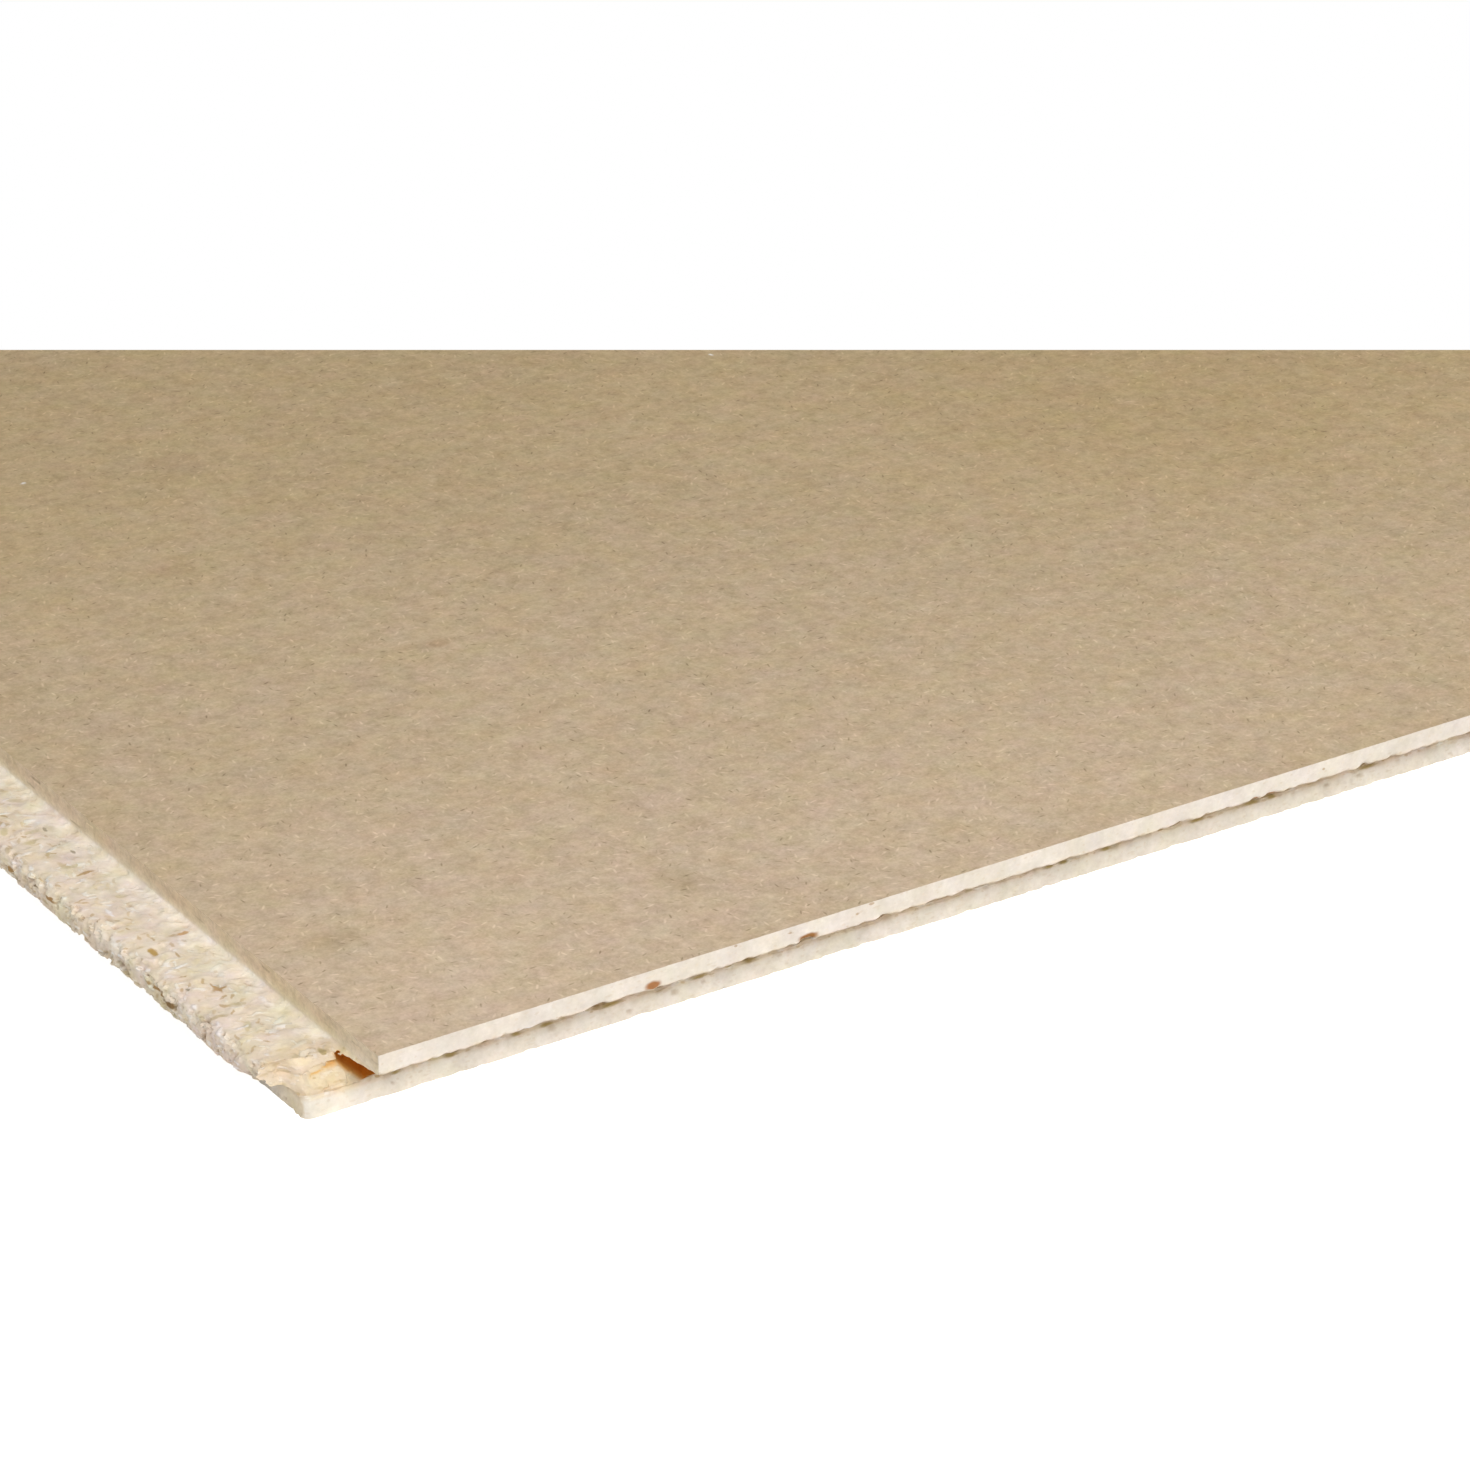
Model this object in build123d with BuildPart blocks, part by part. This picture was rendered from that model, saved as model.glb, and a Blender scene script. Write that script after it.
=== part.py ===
"""A tongue-and-groove chipboard floor panel, lying face up.

The panel is one pressed board, milled along all four edges. Two edges that meet, the left end and the
far long side, carry a tongue. The other two, the right end and the near long side, carry the groove
that takes the next panel's tongue. The face covers cover_length by cover_width once laid. Below the
face the board steps outwards on the tongue edges and inwards by the same amount on the groove edges.

Millimetres. +X runs along the panel, +Y across it to the far side and +Z up. The origin is on the
underside, at the middle of the outline.
"""

from build123d import *
import os

# Sizes of the laid face and of the board
cover_length = 2400.0
cover_width = 600.0
panel_thickness = 22.0

# Sizes of the milled edge
upper_lip_thickness = 6.0
lower_lip_thickness = 6.3
tongue_reach = 23.4
lower_shoulder_reach = 14.3

# Clearances between a panel and its neighbour once laid
nose_clearance = 0.5
cheek_clearance = 0.15
lip_clearance = 0.4
ease_clearance = 0.2

# Roundings left by the cutters
nose_radius = 3.0
groove_root_radius = 3.0
shoulder_root_radius = 0.5

# How far each cut runs past the board, so that it comes out clean
cutter_overrun = 5.0

# Worked out from the sizes above
blank_length = cover_length + tongue_reach
blank_width = cover_width + tongue_reach
tongue_top = panel_thickness - upper_lip_thickness - cheek_clearance
tongue_bottom = lower_lip_thickness + cheek_clearance
groove_top = panel_thickness - upper_lip_thickness
groove_bottom = lower_lip_thickness
groove_depth = tongue_reach + nose_clearance
lower_lip_setback = lower_shoulder_reach + lip_clearance
lip_ease = shoulder_root_radius + ease_clearance
cut_length = max(blank_length, blank_width) + 2 * cutter_overrun

# Where the face ends on each side, and the height a cutter starts from
face_left = -blank_length / 2 + tongue_reach
face_right = blank_length / 2
face_near = -blank_width / 2
face_far = blank_width / 2 - tongue_reach
cutter_above = panel_thickness + cutter_overrun
cutter_below = -cutter_overrun
cutter_outside = tongue_reach + cutter_overrun

# Section planes of the four edges: local X points out of the board, local Y points up
left_edge = Plane(origin=(face_left, 0, 0), x_dir=(-1, 0, 0), z_dir=(0, 1, 0))
far_edge = Plane(origin=(0, face_far, 0), x_dir=(0, 1, 0), z_dir=(1, 0, 0))
right_edge = Plane(origin=(face_right, 0, 0), x_dir=(1, 0, 0), z_dir=(0, -1, 0))
near_edge = Plane(origin=(0, face_near, 0), x_dir=(0, -1, 0), z_dir=(-1, 0, 0))


def waste_above_tongue(edge):
    """Section milled away above a tongue, from the upper shoulder to past the nose."""
    with BuildSketch(edge) as section:
        with BuildLine():
            root = Line((0, cutter_above), (0, tongue_top + shoulder_root_radius))
            fillet_end = (shoulder_root_radius, tongue_top)
            RadiusArc(root @ 1, fillet_end, -shoulder_root_radius)
            cheek = Line(fillet_end, (tongue_reach - nose_radius, tongue_top))
            nose_end = (tongue_reach, tongue_top - nose_radius)
            RadiusArc(cheek @ 1, nose_end, nose_radius)
            Polyline(
                nose_end,
                (cutter_outside, tongue_top - nose_radius),
                (cutter_outside, cutter_above),
                root @ 0,
            )
        make_face()
    return section.sketch


def waste_below_tongue(edge):
    """Section milled away below a tongue, from the lower shoulder to past the nose."""
    with BuildSketch(edge) as section:
        with BuildLine():
            root = Line(
                (lower_shoulder_reach, cutter_below),
                (lower_shoulder_reach, tongue_bottom - shoulder_root_radius),
            )
            fillet_end = (lower_shoulder_reach + shoulder_root_radius, tongue_bottom)
            RadiusArc(root @ 1, fillet_end, shoulder_root_radius)
            cheek = Line(fillet_end, (tongue_reach - nose_radius, tongue_bottom))
            nose_end = (tongue_reach, tongue_bottom + nose_radius)
            RadiusArc(cheek @ 1, nose_end, -nose_radius)
            Polyline(
                nose_end,
                (cutter_outside, tongue_bottom + nose_radius),
                (cutter_outside, cutter_below),
                root @ 0,
            )
        make_face()
    return section.sketch


def waste_of_groove(edge):
    """Section milled away for a groove, with its rounded root and the set-back lower lip."""
    root = -groove_depth
    lip_face = -lower_lip_setback
    with BuildSketch(edge) as section:
        with BuildLine():
            upper_cheek = Polyline(
                (cutter_outside, groove_top + lip_ease),
                (0, groove_top + lip_ease),
                (-lip_ease, groove_top),
                (root + groove_root_radius, groove_top),
            )
            root_top = (root, groove_top - groove_root_radius)
            RadiusArc(upper_cheek @ 1, root_top, -groove_root_radius)
            root_wall = Line(root_top, (root, groove_bottom + groove_root_radius))
            lower_cheek_start = (root + groove_root_radius, groove_bottom)
            RadiusArc(root_wall @ 1, lower_cheek_start, -groove_root_radius)
            Polyline(
                lower_cheek_start,
                (lip_face - lip_ease, groove_bottom),
                (lip_face, groove_bottom - lip_ease),
                (lip_face, cutter_below),
                (cutter_outside, cutter_below),
                upper_cheek @ 0,
            )
        make_face()
    return section.sketch


# The pressed board, then its four milled edges; each cut runs the whole length of its edge,
# so that the grooves cut off the ends of the tongues they meet
with BuildPart() as floor_panel:
    with BuildSketch():
        Rectangle(blank_length, blank_width)
    extrude(amount=panel_thickness)

    for edge in (left_edge, far_edge):
        for waste in (waste_above_tongue, waste_below_tongue):
            extrude(waste(edge), amount=cut_length / 2, both=True, mode=Mode.SUBTRACT)

    for edge in (near_edge, right_edge):
        extrude(waste_of_groove(edge), amount=cut_length / 2, both=True, mode=Mode.SUBTRACT)

floor_panel.part.label = "floor_panel"

os.makedirs("parts", exist_ok=True)
export_step(floor_panel.part, "parts/floor_panel.step")
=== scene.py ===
"""Looks of a tongue-and-groove chipboard floor panel: milled edges, pressed faces, light and camera.

Metres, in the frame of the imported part: +X along the panel, +Y across it to the far side, +Z up.
"""

import math

import bmesh
import bpy
import numpy as np
from mathutils import Matrix, Vector
from mathutils.kdtree import KDTree


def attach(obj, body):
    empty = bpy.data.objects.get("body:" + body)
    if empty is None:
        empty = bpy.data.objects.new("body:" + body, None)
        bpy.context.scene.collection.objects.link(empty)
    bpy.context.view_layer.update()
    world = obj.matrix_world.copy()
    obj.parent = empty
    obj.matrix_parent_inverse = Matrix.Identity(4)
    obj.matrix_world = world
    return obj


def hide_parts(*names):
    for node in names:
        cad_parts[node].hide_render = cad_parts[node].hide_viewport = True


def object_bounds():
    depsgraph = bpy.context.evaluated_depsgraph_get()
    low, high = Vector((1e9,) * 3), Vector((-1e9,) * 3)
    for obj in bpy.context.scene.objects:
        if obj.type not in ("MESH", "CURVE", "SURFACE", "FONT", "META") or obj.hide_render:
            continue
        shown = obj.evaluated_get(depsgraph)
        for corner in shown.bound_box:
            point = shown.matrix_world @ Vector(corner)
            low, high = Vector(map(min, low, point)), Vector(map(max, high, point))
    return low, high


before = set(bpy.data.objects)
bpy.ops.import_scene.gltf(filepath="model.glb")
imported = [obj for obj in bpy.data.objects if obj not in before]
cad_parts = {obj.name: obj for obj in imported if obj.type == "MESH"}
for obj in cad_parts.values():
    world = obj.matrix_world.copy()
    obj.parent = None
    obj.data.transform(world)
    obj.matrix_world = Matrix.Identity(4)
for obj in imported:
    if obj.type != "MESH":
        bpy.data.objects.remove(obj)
cad_low, cad_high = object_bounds()

MM = 0.001

# Milled section, in the sizes of the part's source
UPPER_LIP = 6.0 * MM
LOWER_LIP = 6.3 * MM
TONGUE_REACH = 23.4 * MM
LOWER_SHOULDER = 14.3 * MM
NOSE_CLEARANCE = 0.5 * MM
CHEEK_CLEARANCE = 0.15 * MM
LIP_CLEARANCE = 0.4 * MM
NOSE_RADIUS = 3.0 * MM
GROOVE_ROOT_RADIUS = 3.0 * MM
SHOULDER_ROOT_RADIUS = 0.5 * MM
LIP_EASE = 0.7 * MM

# Heights and depths that follow from it
FACE_HEIGHT = cad_high.z
TONGUE_TOP = FACE_HEIGHT - UPPER_LIP - CHEEK_CLEARANCE
TONGUE_BOTTOM = LOWER_LIP + CHEEK_CLEARANCE
GROOVE_TOP = FACE_HEIGHT - UPPER_LIP
GROOVE_BOTTOM = LOWER_LIP
GROOVE_DEPTH = TONGUE_REACH + NOSE_CLEARANCE
LOWER_LIP_SETBACK = LOWER_SHOULDER + LIP_CLEARANCE

# Where the face ends on each side
FACE_LEFT = cad_low.x + TONGUE_REACH
FACE_RIGHT = cad_high.x
FACE_NEAR = cad_low.y
FACE_FAR = cad_high.y - TONGUE_REACH

# How far cutters and blank reach past the panel
OVERRUN = 5.0 * MM
SPARE = 2.0 * MM

# Mesh steps: fine along the edges of the near left corner and as far under the upper lip as is seen,
# coarse along the rest
FINE_STEP = 0.8 * MM
COARSE_STEP = 6.0 * MM
STEP_GROWTH = 1.12
FINE_TONGUE_LENGTH = 235 * MM
FINE_GROOVE_LENGTH = 420 * MM
HIDDEN_STEP = 2.2 * MM
SEEN_ROOF = -4 * MM
SMOOTHING_ANGLE = math.radians(38)

# Camera: place from the near corner of the face, heading from +Y towards +X, dip below level, and how
# deep it sees
CAMERA_FROM_CORNER = Vector((-560.9, -1012.2, 647.5)) * MM
CAMERA_HEADING = math.radians(33.535)
CAMERA_DIP = math.radians(25.739)
CAMERA_LENS = 125.95
CAMERA_SENSOR = 36.0
VIEW_DEPTH = 1765.4 * MM

# Floor, world and lamps: greys and strengths, and for each lamp its name, place and target
WHITE = (1, 1, 1, 1)
FLOOR_REACH = 30.0
FLOOR_GREY = (0.85, 0.85, 0.85, 1)
FLOOR_GLOW = 0.75
WORLD_LIGHT = 0.55
LAMP_SIZE = 0.7
LAMP_POWER = 16.7
LAMP_WHITE = (1, 0.99, 0.98)
LAMPS = (
    ("left_lamp", (-1.35, -1.6, 1.15), (-1.15, -0.2, 0)),
    ("right_lamp", (0.95, -1.6, 1.15), (1.15, -0.2, 0)),
)

# Relief of the tongue: length and width of its chips, depths of chips, rims, holes and grit, the share that
# the upper shoulder has of them, and the waves, gaps and broken underside of the nose
TONGUE_CHIP = (7.0 * MM, 2.2 * MM)
TONGUE_SPLINTER = (4.0 * MM, 1.7 * MM)
TONGUE_CHIP_DEPTH = 0.6 * MM
TONGUE_SPLINTER_DEPTH = 0.3 * MM
TONGUE_RIM_DEPTH = 0.05 * MM
TONGUE_HOLE_DEPTH = 0.7 * MM
TONGUE_GRIT = 0.07 * MM
SHOULDER_SHARE = 0.25
NOSE_WAVE = 0.35 * MM
NOSE_GAP = 0.9 * MM
NOSE_BREAK = np.array((-2.0 * MM, 0.8 * MM))

# Relief of the groove: its chips, then the waves, ragged edge and fuzz of its lips, the nicks at the lower
# lip's foot, and how far down that lip the painted shade under the upper lip reaches
GROOVE_CHIP = (5.0 * MM, 1.7 * MM)
GROOVE_CHIP_DEPTH = 0.22 * MM
GROOVE_RIM_DEPTH = 0.08 * MM
GROOVE_HOLE_DEPTH = 0.5 * MM
GROOVE_GRIT = 0.05 * MM
LIP_WAVE = 0.4 * MM
LIP_RAGGEDNESS = 0.8 * MM
LIP_FUZZ = 1.3 * MM
FOOT_NICK = 0.9 * MM
LIP_SHADE_REACH = 3.2 * MM

# Near corner: the tongue's torn end and the painted shade of its crack, the flake that hangs beside it, the
# worn lower lip
TORN_LAYER = 1.7 * MM
TORN_CHIP = (4.5 * MM, 2.2 * MM)
TORN_FOOT = 5.3 * MM
TORN_BELLY = 4.4 * MM
LOOSE_DEPTH = 3 * MM
HEAP_HEIGHT = 2.0 * MM
CRACK_HEIGHT = GROOVE_BOTTOM + 6.0 * MM
CRACK_SLOPE = 0.19
FLAKE_WIDTH = 2.4 * MM
FLAKE_SAG = 0.9 * MM
CRUMBLED_DEPTH = 0.7 * MM
LIP_CORNER_RADIUS = 2.6 * MM
LIP_CORNER_INSET = 0.6 * MM

# Tears in the upper lip, in millimetres: place along it from the near corner, half length and depth
LIP_TEARS = (
    (67.3, 3.5, 0.5), (133.6, 3.2, 1.3), (159.0, 2.5, 0.5), (262.3, 3.0, 0.6),
    (287.7, 2.2, 0.6), (293.9, 2.4, 0.6), (328.1, 2.6, 0.6), (339.4, 2.4, 0.6),
)

# Colours of the wood, and of the painted light and shade laid over it
FACE_TAN = (0.49, 0.364, 0.203, 1)
UPPER_CREAM = (0.765, 0.69, 0.595, 1)
# The lower cream is painted lighter than the upper, against the shade under the upper lip
LOWER_CREAM_PAINTED_LIGHTER = (0.867, 0.803, 0.70, 1)
CORE_HONEY = (0.84, 0.71, 0.56, 1)
# Painted light: a lighter cream laid where the milled edge lies in shade
PAINTED_LIGHT_CREAM = (0.98, 0.90, 0.76, 1)
# The shoulder's tan is painted lighter than the face's, against the shade on this left-facing wall, and
# lighter still at its foot, against the shade in the corner
SHOULDER_TAN_PAINTED_LIGHTER = (0.735, 0.60, 0.43, 1)
SHOULDER_FOOT_PAINTED_LIGHTER = (0.82, 0.71, 0.525, 1)
FRESH_WOOD = (0.76, 0.605, 0.37, 1)
# Painted shade: brown laid in holes and in the gaps between chips
PAINTED_SHADE_BROWN = (0.36, 0.23, 0.11, 1)
# Painted shade in the slit under the upper lip and along the crack at the corner: amber, a painted warm
# bounce, at its rim, dark brown within
GAP_SHADE_AMBER = (0.80, 0.50, 0.17)
GAP_SHADE_BROWN = (0.60, 0.20, 0.017)
BARK_TAN = (0.40, 0.24, 0.10, 1)

# Single bits of other colours, in millimetres from the near corner of the face: place, size and colour
KNOT_BROWN = (0.50, 0.32, 0.11)
RUSSET = (0.37, 0.165, 0.066)
BARK_BROWN = (0.26, 0.16, 0.07)
CHESTNUT = (0.42, 0.25, 0.11)
# Olive of the painted shade in the gap above the lower lip
GAP_SHADE_OLIVE = (0.42, 0.32, 0.13)
SHADE_GREY = (0.46, 0.39, 0.28)
EDGE_BITS = (
    ((-16.1, 93.3, -6.5), (3.0, 5.4, 4.0), KNOT_BROWN),
    ((-11.5, 66.2, -6.5), (1.8, 9.0, 4.0), (0.56, 0.36, 0.18)),
    ((-10.7, 65.5, -6.5), (5.4, 2.4, 4.0), (0.56, 0.36, 0.18)),
    ((-9.9, 145.5, -6.5), (7.4, 2.0, 4.0), (0.52, 0.36, 0.19)),
    ((-6.9, 176.0, -6.5), (1.4, 3.0, 4.0), SHADE_GREY),
    ((-7.2, 158.5, -6.5), (1.6, 3.2, 4.0), SHADE_GREY),
    ((-18.1, 69.8, -6.5), (1.6, 3.4, 4.0), SHADE_GREY),
    ((-4.5, 98.3, -6.5), (5.0, 1.8, 4.0), (0.64, 0.42, 0.22)),
    ((-22.8, 79.5, -9.8), (3.0, 15.0, 1.6), CHESTNUT),
    ((-22.8, 71.5, -10.8), (3.0, 10.0, 2.0), BARK_BROWN),
    ((-22.8, 168.0, -11.6), (3.0, 8.0, 2.2), CHESTNUT),
    ((-22.8, 152.4, -9.3), (3.0, 9.0, 1.4), BARK_BROWN),
    ((-22.8, 141.9, -9.6), (3.0, 9.0, 1.4), CHESTNUT),
    ((-14.0, 20.0, -7.6), (15.0, 6.0, 2.6), (0.86, 0.72, 0.48)),
    # A painted shadow under the edge of the tongue's top, over the flake below it
    ((-12.0, 20.5, -6.4), (12.0, 6.0, 1.0), (0.60, 0.49, 0.30)),
    ((-4.6, 20.0, -6.8), (2.4, 8.0, 1.6), (0.50, 0.39, 0.19)),
    ((83.9, 0.4, -4.6), (6.6, 6.0, 3.4), RUSSET),
    ((133.6, 0.8, -4.8), (9.0, 5.0, 3.4), (0.35, 0.16, 0.05)),
    ((67.3, 0.5, -5.6), (6.0, 4.0, 1.4), BARK_BROWN),
    ((159.0, 0.5, -5.9), (3.0, 4.0, 1.4), BARK_BROWN),
    ((287.7, 0.5, -5.6), (4.5, 4.0, 1.8), RUSSET),
    ((293.9, 0.5, -5.6), (5.0, 4.0, 1.8), RUSSET),
)

# Painted shade in olive dashes along the gap above the lower lip, in millimetres from the near corner: place
# and length
LIP_GAP_SHADES = (
    (13.4, 5.0), (30.4, 7.0), (50.4, 5.0), (59.7, 7.0), (80.1, 11.0), (108.2, 9.0), (124.8, 7.0),
    (226.1, 6.0), (231.3, 5.0), (246.2, 7.0), (279.0, 9.0), (299.0, 10.0), (306.3, 6.0), (342.4, 10.0),
)
LIP_GAP_SHADE_HEIGHT = -15.9
LIP_GAP_SHADE_SECTION = (6.0, 1.8)

# Bits of other colours on the face, in millimetres from the near corner: place, size, colour and strength
FACE_BITS = (
    ((92.9, 390.3, 0), (2.4, 2.4, 4), (0.85, 0.80, 0.72), 0.9),
    ((340.5, 362.0, 0), (2.6, 2.6, 4), (0.85, 0.80, 0.72), 0.9),
    ((141.6, 210.0, 0), (14.0, 7.0, 4), (0.41, 0.27, 0.14), 0.6),
    ((141.1, 376.4, 0), (34.0, 30.0, 4), (0.41, 0.29, 0.16), 0.5),
    ((100.1, 302.5, 0), (30.0, 26.0, 4), (0.41, 0.29, 0.16), 0.4),
    ((21.0, 62.0, 0), (24.0, 22.0, 4), (0.41, 0.30, 0.17), 0.5),
    ((118.1, 39.5, 0), (22.0, 20.0, 4), (0.41, 0.30, 0.17), 0.55),
)

# Slow drifts of the face's tone near that corner: place, size, colour and strength
FACE_DRIFTS = (
    ((56.0, 148.0, 0), (1800.0, 500.0, 400), (0.542, 0.414, 0.269), 0.9),
    ((464.0, 242.0, 0), (430.0, 310.0, 400), (0.477, 0.347, 0.180), 0.9),
    ((-30.0, 9.0, 0), (1330.0, 327.0, 400), (0.590, 0.456, 0.318), 0.9),
)

# Chips drawn in the finishes: spacing and size in millimetres, share of places that carry one, soft rim
PALE_FLECKS = dict(
    Cell=3.2, Length=3.6, Width=1.0, Height=9.0, Flatness=1.0, Coverage=0.45, Softness=0.7, Seed=3.0)
DARK_FLECKS = dict(
    Cell=3.6, Length=3.0, Width=0.8, Height=9.0, Flatness=1.0, Coverage=0.4, Softness=0.7, Seed=41.0)
COARSE_CHIPS = dict(
    Cell=5.0, Length=9.0, Width=3.0, Height=6.0, Flatness=4.0, Coverage=0.85, Softness=0.6, Seed=7.0)
STREAKS = dict(
    Cell=5.5, Length=9.0, Width=2.2, Height=5.0, Flatness=4.0, Coverage=0.4, Softness=0.6, Seed=83.0)
SLIVERS = dict(
    Cell=2.8, Length=5.0, Width=1.3, Height=3.4, Flatness=3.5, Coverage=0.8, Softness=0.5, Seed=23.0)
BARK_BITS = dict(
    Cell=9.0, Length=4.0, Width=1.4, Height=4.0, Flatness=4.0, Coverage=0.05, Softness=0.3, Seed=59.0)

# Colours of the chips in the milled edges, as stops on a ramp
SLIVER_COLOURS = (
    (0.0, (0.52, 0.36, 0.18)), (0.3, (0.78, 0.63, 0.44)),
    (0.65, (0.88, 0.78, 0.64)), (1.0, (0.95, 0.88, 0.78)),
)
CHIP_COLOURS = (
    (0.0, (0.52, 0.38, 0.20)), (0.15, (0.69, 0.59, 0.39)), (0.35, (0.86, 0.73, 0.62)),
    (0.55, (0.88, 0.74, 0.52)), (0.75, (0.94, 0.87, 0.77)), (1.0, (0.97, 0.93, 0.87)),
)
STREAK_COLOURS = (
    (0.0, (0.68, 0.54, 0.33)), (0.3, (0.93, 0.88, 0.79)), (1.0, (1.0, 0.97, 0.92)),
)

# How strongly the finishes show: changes of light and tint of pressed board, then of the milled edges,
# and the colours laid over those
FLECK_SHADE = 0.22
BROAD_SHADE = 0.03
PALE_SHADE = 0.26
DARK_SHADE = -0.38
PRESSED_PINK = 0.045
PRESSED_WARM = 0.075
SHOULDER_CONTRAST = 1.1
DUST_SHADE = 0.06
SLOW_SHADE = 0.08
MILLED_PINK = 0.045
MILLED_WARM = 0.11
CHIP_STRENGTH = 0.85
STREAK_STRENGTH = 0.7
BARK_STRENGTH = 0.6
FRESH_STRENGTH = 0.5
# Strength of the painted shade in holes and gaps
PAINTED_SHADE_STRENGTH = 0.7

# Height of the board's middle, and how far from it the coarse core ends and begins, in millimetres
CORE_MIDDLE = 11.0
CORE_END = 6.5
CORE_START = 4.5

# A polygon is part of a pressed face if it is this level and this close to it
LEVEL_NORMAL = 0.9999
FACE_TOLERANCE = 0.01 * MM


# Relief of milled chipboard

def scatter(row, column, seed):
    """Even random numbers from 0 to 1, one for each place of a lattice."""
    mixed = (row * 374761393 + column * 668265263 + seed * 974711) & 0xFFFFFFFF
    mixed = ((mixed ^ (mixed >> 13)) * 1274126177) & 0xFFFFFFFF
    return (mixed ^ (mixed >> 16)) / 0xFFFFFFFF


def ramp(value, start, end):
    """0 before start, 1 after end, and smooth between them; start may be the larger."""
    share = np.clip((value - start) / (end - start), 0, 1)
    return share * share * (3 - 2 * share)


def soft_noise(along, across, cell, seed):
    """Smooth noise from 0 to 1, with bumps about one cell wide."""
    a, b = np.broadcast_arrays(along / cell, across / cell)
    row = np.floor(a).astype(np.int64)
    column = np.floor(b).astype(np.int64)
    share_a = ramp(a - row, 0, 1)
    share_b = ramp(b - column, 0, 1)
    low = scatter(row, column, seed) * (1 - share_a) + scatter(row + 1, column, seed) * share_a
    high = scatter(row, column + 1, seed) * (1 - share_a) + scatter(row + 1, column + 1, seed) * share_a
    return low * (1 - share_b) + high * share_b


def nearby_cells(along, across, cell, reach):
    """Rows and columns of the lattice cells up to reach cells away from each point, pair by pair."""
    row_here = np.floor(along / cell).astype(np.int64)
    column_here = np.floor(across / cell).astype(np.int64)
    for row_step in range(-reach, reach + 1):
        for column_step in range(-reach, reach + 1):
            yield row_here + row_step, column_here + column_step


def chips(along, across, length, width, seed):
    """Chips lying every way: the level of the chip under each point, and 1 at its rim fading to 0."""
    cell = math.sqrt(length * width)
    along, across = np.broadcast_arrays(along, across)
    nearest = np.full(along.shape, np.inf)
    next_nearest = np.full(along.shape, np.inf)
    level = np.zeros(along.shape)
    for row, column in nearby_cells(along, across, cell, 2):
        away_along = along - (row + scatter(row, column, seed)) * cell
        away_across = across - (column + scatter(row, column, seed + 1)) * cell
        turn = scatter(row, column, seed + 2) * math.pi
        lengthwise = (away_along * np.cos(turn) + away_across * np.sin(turn)) / length
        widthwise = (away_across * np.cos(turn) - away_along * np.sin(turn)) / width
        distance = np.hypot(lengthwise, widthwise)
        closer = distance < nearest
        next_nearest = np.where(closer, nearest, np.minimum(next_nearest, distance))
        level = np.where(closer, scatter(row, column, seed + 3), level)
        nearest = np.minimum(nearest, distance)
    return level, ramp(next_nearest - nearest, 0.16, 0)


def holes(along, across, cell, chance, radius, seed):
    """Holes where chips have dropped out: 0 on sound wood, 1 at the bottom of a hole."""
    along, across = np.broadcast_arrays(along, across)
    deepest = np.zeros(along.shape)
    for row, column in nearby_cells(along, across, cell, 1):
        there = scatter(row, column, seed) < chance
        reach = radius * (0.35 + 0.65 * scatter(row, column, seed + 1))
        away_along = along - (row + scatter(row, column, seed + 2)) * cell
        away_across = across - (column + scatter(row, column, seed + 3)) * cell
        share = np.hypot(away_along / 1.7, away_across) / reach
        deepest = np.maximum(deepest, np.where(there, np.clip(1 - share * share, 0, 1), 0))
    return deepest


# Sections of the milled edges, as points from above the face to below the underside

def straight(start, end, step):
    """Points along a straight run, without its end."""
    count = max(1, round(np.linalg.norm(end - start) / step))
    return [start + (end - start) * i / count for i in range(count)]


def rounded(start, end, centre, step):
    """Points along a quarter round about centre, without its end."""
    count = max(2, round(np.linalg.norm(start - centre) * math.pi / 2 / step))
    turns = [i / count * math.pi / 2 for i in range(count)]
    return [centre + (start - centre) * math.cos(t) + (end - centre) * math.sin(t) for t in turns]


def section_line(start, corners, step):
    """Points of a section; each corner has a place, its rounding, and the step along the run up to it."""
    points = []
    here = np.array(start)
    for number, (place, rounding, run_step) in enumerate(corners):
        corner = np.array(place)
        way_in = (corner - here) / np.linalg.norm(corner - here)
        entry = corner - rounding * way_in
        points += straight(here, entry, run_step)
        here = corner
        if rounding:
            beyond = np.array(corners[number + 1][0])
            here = corner + rounding * (beyond - corner) / np.linalg.norm(beyond - corner)
            points += rounded(entry, here, here - rounding * way_in, step)
    return np.array(points + [here])


def tongue_section(step):
    """The tongue edge: upper shoulder, upper cheek, nose, lower cheek, lower shoulder."""
    corners = (
        ((0, FACE_HEIGHT), 0, OVERRUN),
        ((0, TONGUE_TOP), SHOULDER_ROOT_RADIUS, step),
        ((TONGUE_REACH, TONGUE_TOP), NOSE_RADIUS, step),
        ((TONGUE_REACH, TONGUE_BOTTOM), NOSE_RADIUS, step),
        ((LOWER_SHOULDER, TONGUE_BOTTOM), SHOULDER_ROOT_RADIUS, HIDDEN_STEP),
        ((LOWER_SHOULDER, 0), 0, step),
        ((LOWER_SHOULDER, -OVERRUN), 0, OVERRUN),
    )
    return section_line((0, FACE_HEIGHT + OVERRUN), corners, step)


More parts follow.
